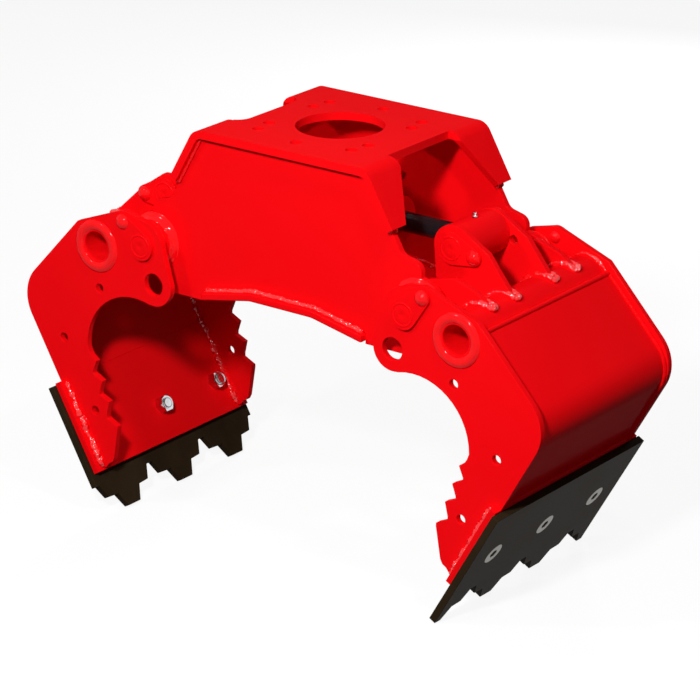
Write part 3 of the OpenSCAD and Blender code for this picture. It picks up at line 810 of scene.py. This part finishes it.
@dataclass
class Jaw(Assembly):
    """One jaw, drawn round its main pivot as the right one and mirrored for the left."""

    hand: Hand = Hand.RIGHT
    body: str = "right_jaw"
    pivot: Flat = PIVOT
    arm: float = ARM
    plate_thickness: float = PLATE
    plate_out: float = 0.250
    plate_in: float = plate_out - PLATE
    lip: Flat = (0.251, -0.3834)
    lip_lean: float = 29.8
    base_rise: float = 0.004
    base_thickness: float = 0.016
    foot_length: float = 0.214
    shoulder: Flat = (0.188, 0.0195)
    back_slope: float = 46.9
    shell_recess: float = 0.015
    shell_thickness: float = 0.010
    corner_radius: float = 0.092
    tube: Flat = (0.133, -0.029)
    tube_radius: float = 0.053
    lug_y: float = 0.148
    ear_y: float = 0.064
    flag_thickness: float = 0.008
    bolt_place: float = 0.140
    bolt_pitch: float = 0.193
    nut_flats: float = 0.036
    nut_height: float = 0.022
    nut_crown_share: float = 0.94
    nut_chamfer_slope: float = 0.58
    nut_mouth: float = 0.0012
    nut_steps: int = 24
    bolt_radius: float = 0.012
    # Radius and height over the nut's crown of the bolt's chamfered tip
    bolt_tip: tuple[Flat, ...] = ((0.0, 0.0023), (0.0100, 0.0023), (0.0121, 0.0004), (0.0121, -0.003))
    foot_bead: Bead = Bead(radius=0.0092, ripple=0.18, pitch=0.0100, wander=0.3)
    foot_bead_gap: float = 0.002
    foot_bead_short: float = 0.004
    # Point of the shell's inner line from which its bead is the coarse one
    coarse_from: int = 4
    shell_bead: Bead = Bead(radius=0.0058, ripple=0.05)
    shell_bead_gap: float = 0.0015
    shell_bead_short: float = 0.001
    pillow_middle: float = 0.0486
    pillow_half: float = 0.0126
    pillow_tilt: float = 54.0
    pillow_steps: int = 6
    pillow_sink: float = 0.001
    tube_bead: Bead = Bead(radius=0.0056, ripple=0.1)
    tube_bead_radius: float = 0.0545
    tube_bead_gap: float = 0.001
    lug_bead: Bead = Bead(radius=0.0078, ripple=0.12, wander=0.14)
    lug_bead_rise: float = 0.0022
    lug_bead_gap: float = 0.0012
    # Where a lug's bead goes round its front and back toes, and the degrees between them on the tube
    lug_toes: tuple[float, float] = (68.0, 256.0)
    toe_turns: tuple[range, range] = (range(-90, 91, 15), range(90, 271, 15))
    tube_turns: tuple[range, range] = (range(80, 250, 12), range(248, 76, -12))
    # Radius and height of the relief on a pin's end and of the ring round it
    pin_relief: tuple[Flat, ...] = (
        (0.0, 0.0001), (0.0030, 0.0001), (0.0038, 0.0004), (0.0205, 0.0004), (0.0215, 0.0001),
        (0.0225, 0.0001), (0.0235, 0.0009), (0.0250, 0.0013), (0.0265, 0.0009), (0.0276, -0.0004),
    )
    seed: int = 20

    def at(self, p: Vector, y: float) -> Vector:
        """A point of the jaw in the grapple's frame, from its place beside the pivot."""
        return Vector((self.hand.side * (self.pivot[0] + p.x), y, self.pivot[1] + p.y))

    def way(self, v: Vector) -> Vector:
        """A direction of the jaw in the grapple's frame."""
        return Vector((self.hand.side * v.x, 0, v.y))

    def node(self, part: str) -> str:
        """The CAD node of one of the jaw's parts."""
        return f"{self.hand.word}_{part}"

    @property
    def down(self) -> Vector:
        """Down the lip."""
        return heading(-90 - self.lip_lean)

    @property
    def out(self) -> Vector:
        """Out of the lip, away from the load."""
        return heading(-self.lip_lean)

    def build(self) -> None:
        """Builds and dresses the jaw."""
        plain = Finish.PLATE
        widths = {
            "side_front": (0.0016, plain),
            "side_back": (0.0016, plain),
            "shell": (0.0010, plain),
            "base_plate": (0.0020, plain),
            "cutting_edge": (0.0015, Finish.WEAR),
            "edge_bolts": (0.0008, Finish.HEAD),
            "cross_tube": (0.0030, plain),
            "lugs": (0.0028, plain),
            "flags": (0.0018, plain),
            "flag_bolts": (0.0008, Finish.SMOOTH_WELD),
            "cylinder_flag": (0.0018, plain),
            "cylinder_bolt": (0.0008, Finish.SMOOTH_WELD),
        }
        if self.hand is Hand.RIGHT:
            widths["ears"] = (0.0028, plain)
        else:
            widths["spacers"] = (0.0016, plain)
        self.round_all({self.node(part): value for part, value in widths.items()})
        self.paint({self.node("pivot_pins"): plain, self.node("cylinder_pin"): plain})
        self.foot_welds()
        self.shell_welds()
        self.tube_welds()
        self.lug_welds()
        self.pin_rings()
        self.nuts()

    def shell_lines(self) -> tuple[list[Vector], list[Vector]]:
        """The shell's outlines, from the cross tube down to the base plate.

        Returns:
            The outer one and the inner one, as places beside the pivot.
        """
        lip = Vector(self.lip)
        slope, lean = -self.back_slope, -90 - self.lip_lean
        base_top = lip - self.base_rise * self.down
        foot = base_top - (self.base_thickness - self.shell_thickness) * self.out
        foot_in = base_top - self.base_thickness * self.out
        back_out = heading(90 - self.back_slope)
        outer = Vector(self.shoulder) - self.shell_recess * back_out
        inner = outer - self.shell_thickness * back_out
        corner = meet(outer, slope, foot, lean)
        corner_in = meet(inner, slope, foot_in, lean)
        near = meet(Vector(self.tube), 90 - self.back_slope, inner, slope)
        reach = math.sqrt(self.tube_radius**2 - (near - Vector(self.tube)).length ** 2)
        top_in = near + reach * heading(slope)
        top = top_in + self.shell_thickness * back_out
        radius = self.corner_radius - self.shell_recess
        outer_line = [top] + rounded(corner, slope, lean, radius) + [foot]
        inner_line = [top_in] + rounded(corner_in, slope, lean, radius - self.shell_thickness) + [foot_in]
        return outer_line, inner_line

    def foot_welds(self) -> None:
        """Coarse beads that hold the side plates' feet on the base plate, outside and inside."""
        gap = self.foot_bead_gap
        start = Vector(self.lip) - (self.base_thickness + gap) * self.out
        outside = [start, start + self.foot_length * self.down]
        inside = [p - gap * self.out for p in self.shell_lines()[1][self.coarse_from:]]
        inside.append(start + (self.foot_length - self.foot_bead_short) * self.down)
        runs = []
        for side in (-1, 1):
            runs.append(Run.beside([self.at(p, side * (self.plate_out + gap)) for p in outside]))
            runs.append(Run.beside([self.at(p, side * (self.plate_in - gap)) for p in inside]))
        self.weld(self.node("foot_welds"), runs, self.foot_bead, seed=self.seed)

    def shell_welds(self) -> None:
        """Neat beads round the shell: to the side plates, the cross tube and the base plate."""
        outer, inner = self.shell_lines()
        face = self.plate_in - self.shell_bead_gap
        runs = []
        for side in (-1, 1):
            for line in (outer, inner[:self.coarse_from + 1]):
                runs.append(Run.beside([self.at(p, side * face) for p in line]))
        half = self.plate_in - self.shell_bead_short
        for spot in (outer[0], inner[0], outer[-1]):
            runs.append(Run.beside([self.at(spot, y) for y in (-half, half)], Z_WAY))
        self.weld(self.node("shell_welds"), runs, self.shell_bead, Finish.PLATE, seed=self.seed + 1)

    def pillow(self) -> list[Flat]:
        """The section of the rings on the cross tube's ends: an arc on a sunk foot.

        Returns:
            Its closed profile, as radius and height.
        """
        tilt, steps = math.radians(self.pillow_tilt), self.pillow_steps
        radius = self.pillow_half / math.sin(tilt)
        foot = radius * math.cos(tilt)
        turns = [tilt * (i / steps - 1) for i in range(2 * steps + 1)]
        arc = [(self.pillow_middle + radius * math.sin(a), radius * math.cos(a) - foot) for a in turns]
        inner = (self.pillow_middle - self.pillow_half, -self.pillow_sink)
        outer = (self.pillow_middle + self.pillow_half, -self.pillow_sink)
        return [inner] + arc + [outer, inner]

    def tube_welds(self) -> None:
        """Broad soft rings round the cross tube's ends, and ring beads inside the side plates."""
        bm = bmesh.new()
        runs = []
        centre = Vector(self.tube)
        profile = self.pillow()
        face = self.plate_in - self.tube_bead_gap
        for side in (-1, 1):
            turn_profile(bm, profile, self.at(centre, side * self.plate_out), Vector((0, side, 0)))
            line = [self.at(p, side * face) for p in circle(centre, self.tube_bead_radius)]
            runs.append(Run.beside(line, closed=True))
        bmesh.ops.recalc_face_normals(bm, faces=bm.faces)
        show(self.node("tube_end_rings"), bm, self.body, Finish.SMOOTH_WELD, crease=70.0)
        self.weld(self.node("tube_inner_rings"), runs, self.tube_bead, seed=self.seed + 3)

    def lug_welds(self) -> None:
        """A bead round the foot of each lug and ear, over the cross tube and round their toes."""
        plates = [self.lug_y] + ([self.ear_y] if self.hand is Hand.RIGHT else [])
        centre = Vector(self.tube)
        reach = self.tube_radius + self.lug_bead_rise
        half = self.plate_thickness / 2 + self.lug_bead_gap
        runs = []
        for inner in plates:
            middle = inner + self.plate_thickness / 2
            spots = []
            for toe, turns, tube_turns, way in zip(self.lug_toes, self.toe_turns, self.tube_turns, (1, -1)):
                for turn in turns:
                    bulge = math.cos(math.radians(turn)) * half / reach
                    y = middle + math.sin(math.radians(turn)) * half
                    spots.append((toe - math.degrees(bulge), y))
                spots += [(a, middle + way * half) for a in tube_turns]
            for side in (-1, 1):
                line = [self.at(centre + reach * heading(a), side * y) for a, y in spots]
                across = [self.way(heading(a)) for a, y in spots]
                runs.append(Run(line, across, closed=True))
        self.weld(self.node("lug_welds"), runs, self.lug_bead, seed=self.seed + 4)

    def pin_rings(self) -> None:
        """The drilled ends of the pins and the low rings that weld them to their flags."""
        bm = bmesh.new()
        pivot, arm_end = Vector((0, 0)), Vector((0, self.arm))
        jaw_face = self.plate_out + self.flag_thickness
        carrier = self.ear_y if self.hand is Hand.RIGHT else self.lug_y
        cylinder_face = carrier + self.plate_thickness + self.flag_thickness
        for spot, face, side in ((pivot, jaw_face, 1), (pivot, jaw_face, -1), (arm_end, cylinder_face, -1)):
            turn_profile(bm, self.pin_relief, self.at(spot, side * face), Vector((0, side, 0)))
        bmesh.ops.holes_fill(bm, edges=[e for e in bm.edges if e.is_boundary], sides=0)
        bmesh.ops.recalc_face_normals(bm, faces=bm.faces)
        show(self.node("pin_ends"), bm, self.body, Finish.PLATE, crease=50.0)

    def nuts(self) -> None:
        """The chamfered hexagon nuts on the base plate's inner face."""
        bm = bmesh.new()
        foot = Vector(self.lip) + self.bolt_place * self.down - self.base_thickness * self.out
        axis = -self.way(self.out)
        axes = (Y_WAY, axis.cross(Y_WAY), axis)
        for place in (-1, 0, 1):
            base = self.at(foot, place * self.bolt_pitch)
            ring = bmesh.ops.create_circle(bm, segments=self.nut_steps, radius=self.nut_flats / 2)["verts"]
            levels = [list(ring)]
            for _ in ("shoulder", "crown", "bore"):
                grown = bmesh.ops.extrude_edge_only(bm, edges=self._loop_edges(levels[-1]))["geom"]
                levels.append([g for g in grown if isinstance(g, bmesh.types.BMVert)])
            for level, verts in enumerate(levels):
                for vert in verts:
                    self._shape_nut(vert, level, base, axes)
            tip = [(radius, self.nut_height + rise) for radius, rise in self.bolt_tip]
            turn_profile(bm, tip, base, axis, self.nut_steps)
        bmesh.ops.recalc_face_normals(bm, faces=bm.faces)
        piece = show(self.node("nuts"), bm, self.body, Finish.ZINC, crease=25.0)
        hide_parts(self.node("edge_nuts"))

    def _shape_nut(
        self, vert: bmesh.types.BMVert, level: int, base: Vector, axes: tuple[Vector, Vector, Vector]
    ) -> None:
        """Moves one vertex of a nut to its place.

        Args:
            vert: The vertex, on a circle.
            level: 0 at the foot, 1 at the shoulder, 2 at the crown and 3 at the bore.
            base: The middle of the nut's foot.
            axes: Two directions across the nut and the one along it.
        """
        across, third, axis = axes
        turn = math.atan2(vert.co.y, vert.co.x)
        corner = self.nut_flats / 2 / math.cos(turn % (math.pi / 3) - math.pi / 6)
        crown = self.nut_flats / 2 * self.nut_crown_share
        fall = max(0.0, corner - crown) * self.nut_chamfer_slope
        reach = (corner, corner, crown, self.bolt_radius)[level]
        height = self.nut_height - (self.nut_height, fall, 0.0, self.nut_mouth)[level]
        x, y = reach * math.cos(turn), reach * math.sin(turn)
        vert.co = base + across * x + third * y + axis * height

    @staticmethod
    def _loop_edges(verts: list[bmesh.types.BMVert]) -> list[bmesh.types.BMEdge]:
        """The edges whose two ends are both in the list."""
        inside = set(verts)
        return list({e for v in verts for e in v.link_edges if set(e.verts) <= inside})


@dataclass
class Cylinder(Assembly):
    """Either half of the level cylinder."""

    body: str = "barrel"
    side: int = -1
    eye_radius: float = 0.048
    barrel_radius: float = 0.0535
    barrel_base: float = 0.075
    gland: float = 0.494
    gland_bead: Bead = Bead(radius=0.0022, ripple=0.0, wander=0.0)
    gland_bead_sink: float = 0.0004
    base_bead: Bead = Bead(radius=0.0042, ripple=0.12)
    rod_radius: float = 0.0225
    rod_bead: Bead = Bead(radius=0.0034, ripple=0.1)
    rod_bead_gap: float = 0.001
    ring_steps: int = 48

    @property
    def pin(self) -> Vector:
        """The middle of the half's pin, on the end of a jaw's arm."""
        return Vector((self.side * PIVOT[0], 0.0, PIVOT[1] + ARM))

    def around(self, radius: float) -> list[Flat]:
        """Places (y, z) on a full circle round the cylinder's axis."""
        turns = [math.tau * i / self.ring_steps for i in range(self.ring_steps)]
        return [(radius * math.cos(turn), radius * math.sin(turn)) for turn in turns]

    def ring(self, x: float, radius: float) -> Run:
        """A closed run round the cylinder's axis, at a distance along it from the pin."""
        line = [Vector((self.pin.x + x, y, self.pin.z + z)) for y, z in self.around(radius)]
        return Run.beside(line, X_WAY, closed=True)

    def eye_ring(self, radius: float) -> Run:
        """A closed run where a round of the cylinder's axis meets the eye.

        Args:
            radius: The round's radius.

        Returns:
            The run.
        """
        line = []
        for y, z in self.around(radius):
            depth = math.sqrt(self.eye_radius**2 - z * z)
            line.append(Vector((self.pin.x - depth, y, self.pin.z + z)))
        return Run.beside(line, X_WAY, closed=True)

    def build_barrel(self) -> None:
        """Builds and dresses the barrel's half."""
        self.round_all({
            "barrel_tube": (0.0012, Finish.PLATE),
            "barrel_eye": (0.0020, Finish.PLATE),
            "barrel_cap": (0.0012, Finish.PLATE),
            "barrel_gland": (0.0022, Finish.PLATE),
            "barrel_ports": (0.0015, Finish.PLATE),
            "barrel_elbows": (0.0012, Finish.PLATE),
            "barrel_nipple": (0.0004, Finish.ZINC),
        })
        self.paint({"barrel_bush": Finish.BRONZE})
        base = self.ring(self.barrel_base, self.barrel_radius)
        self.weld("barrel_base_weld", [base], self.base_bead, seed=41)
        gland = self.ring(self.gland, self.barrel_radius - self.gland_bead_sink)
        self.weld("barrel_gland_ring", [gland], self.gland_bead, Finish.SMOOTH_WELD, seed=42)

    def build_rod(self) -> None:
        """Builds and dresses the rod's half."""
        self.round_all({"rod_eye": (0.0024, Finish.PLATE), "rod_nipple": (0.0004, Finish.ZINC)})
        self.paint({"rod_bush": Finish.BRONZE, "rod_shaft": Finish.ROD, "rod_piston": Finish.PIN})
        eye = self.eye_ring(self.rod_radius + self.rod_bead_gap)
        self.weld("rod_eye_weld", [eye], self.rod_bead, seed=43)


# Stage


@dataclass(frozen=True)
class Lamp:
    """One square softbox that looks at the grapple's middle."""

    name: str
    toward: Space
    size: float
    power: float
    distance: float = 4.2
    aim: Space = (0.0, 0.0, -0.45)

    def hang(self) -> None:
        """Puts the lamp in the scene."""
        data = bpy.data.lights.new(self.name, "AREA")
        data.shape = "SQUARE"
        data.size = self.size
        data.energy = self.power
        lamp = bpy.data.objects.new(self.name, data)
        way = Vector(self.toward).normalized()
        lamp.location = Vector(self.aim) + way * self.distance
        lamp.rotation_mode = "QUATERNION"
        lamp.rotation_quaternion = (-way).to_track_quat("-Z", "Y")
        bpy.context.scene.collection.objects.link(lamp)


@dataclass
class Stage:
    """Camera, white background, floor and soft studio light."""

    eye: Space = (4.318, -5.630, 2.171)
    azimuth: float = 37.316
    elevation: float = 20.774
    lens: float = 175.8
    sensor: float = 36.0
    sight: tuple[float, float] = (0.1, 100.0)
    ambient: float = 0.10
    floor_gap: float = 0.0005
    floor_half: float = 30.0
    floor_cells: int = 8
    floor_grey: Colour = (0.1, 0.1, 0.1)
    floor_glow_share: float = 0.9
    lamps: tuple[Lamp, ...] = (
        Lamp("key", toward=(0.30, -0.74, 0.56), size=0.36, power=150.0),
        Lamp("left", toward=(-0.37, -0.69, 0.62), size=0.26, power=42.0),
        Lamp("right", toward=(0.55, -0.25, 0.95), size=0.32, power=40.0),
        Lamp("back", toward=(-0.35, 0.90, 0.20), size=0.6, power=75.0),
    )

    def build(self, floor_height: float) -> None:
        """Sets up the camera, the background, the floor and the lamps.

        Args:
            floor_height: Height of the grapple's lowest point.
        """
        self.camera()
        self.world()
        self.floor(floor_height)
        for lamp in self.lamps:
            lamp.hang()

    def camera(self) -> None:
        """The camera where the photograph was taken from."""
        data = bpy.data.cameras.new("camera")
        data.sensor_width = self.sensor
        data.lens = self.lens
        data.clip_start, data.clip_end = self.sight
        camera = bpy.data.objects.new("camera", data)
        a, e = math.radians(self.azimuth), math.radians(self.elevation)
        back = Vector((math.sin(a) * math.cos(e), -math.cos(a) * math.cos(e), math.sin(e)))
        camera.location = self.eye
        camera.rotation_mode = "QUATERNION"
        camera.rotation_quaternion = (-back).to_track_quat("-Z", "Y")
        bpy.context.scene.collection.objects.link(camera)
        bpy.context.scene.camera = camera

    def seen(self, sheet: NodeSheet) -> Socket:
        """1 where the camera, a reflection or glass looks at the background.

        Args:
            sheet: The sheet that needs it.

        Returns:
            The mask.
        """
        camera = sheet.add("ShaderNodeLightPath", output="Is Camera Ray")
        glossy = sheet.add("ShaderNodeLightPath", output="Is Glossy Ray")
        through = sheet.add("ShaderNodeLightPath", output="Is Transmission Ray")
        return camera.highest(glossy).highest(through)

    def world(self) -> None:
        """A white background with a soft grey light."""
        world = bpy.data.worlds.new("studio")
        world.use_nodes = True
        bpy.context.scene.world = world
        sheet = NodeSheet(world.node_tree)
        strength = self.seen(sheet) * (1.0 - self.ambient) + self.ambient
        shader = sheet.add("ShaderNodeBackground", None, {"Color": sheet.white, "Strength": strength})
        sheet.finish(shader, "ShaderNodeOutputWorld")

    def floor(self, height: float) -> None:
        """A pale floor that keeps a faint shadow.

        Args:
            height: Height of the grapple's lowest point.
        """
        bm = bmesh.new()
        cells = self.floor_cells
        bmesh.ops.create_grid(bm, x_segments=cells, y_segments=cells, size=self.floor_half)
        bmesh.ops.translate(bm, verts=bm.verts, vec=(0, 0, height - self.floor_gap))
        mesh = bpy.data.meshes.new("floor")
        bm.to_mesh(mesh)
        bm.free()
        floor = bpy.data.objects.new("floor", mesh)
        bpy.context.scene.collection.objects.link(floor)
        material = bpy.data.materials.new("floor")
        material.use_nodes = True
        sheet = NodeSheet(material.node_tree)
        seen = self.seen(sheet)
        tone = sheet.blend(seen, solid(self.floor_grey), sheet.white)
        diffuse = sheet.add("ShaderNodeBsdfDiffuse", None, {"Color": tone})
        glow = sheet.add("ShaderNodeEmission", None, {"Color": sheet.white, "Strength": 1.0})
        share = seen * self.floor_glow_share
        sheet.finish(sheet.add("ShaderNodeMixShader", None, {0: share, 1: diffuse, 2: glow}))
        mesh.materials.append(material)
        floor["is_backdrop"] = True


def main() -> None:
    logging.basicConfig(level=logging.INFO, format="%(message)s")
    cad_low, cad_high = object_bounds()
    bpy.context.scene.view_settings.view_transform = "Standard"
    Stage().build(cad_low.z)
    Body().build()
    Jaw(Hand.RIGHT, "right_jaw", seed=20).build()
    Jaw(Hand.LEFT, "left_jaw", seed=30).build()
    Cylinder("barrel", side=-1).build_barrel()
    Cylinder("rod", side=1).build_rod()


if __name__ == "__main__":
    main()
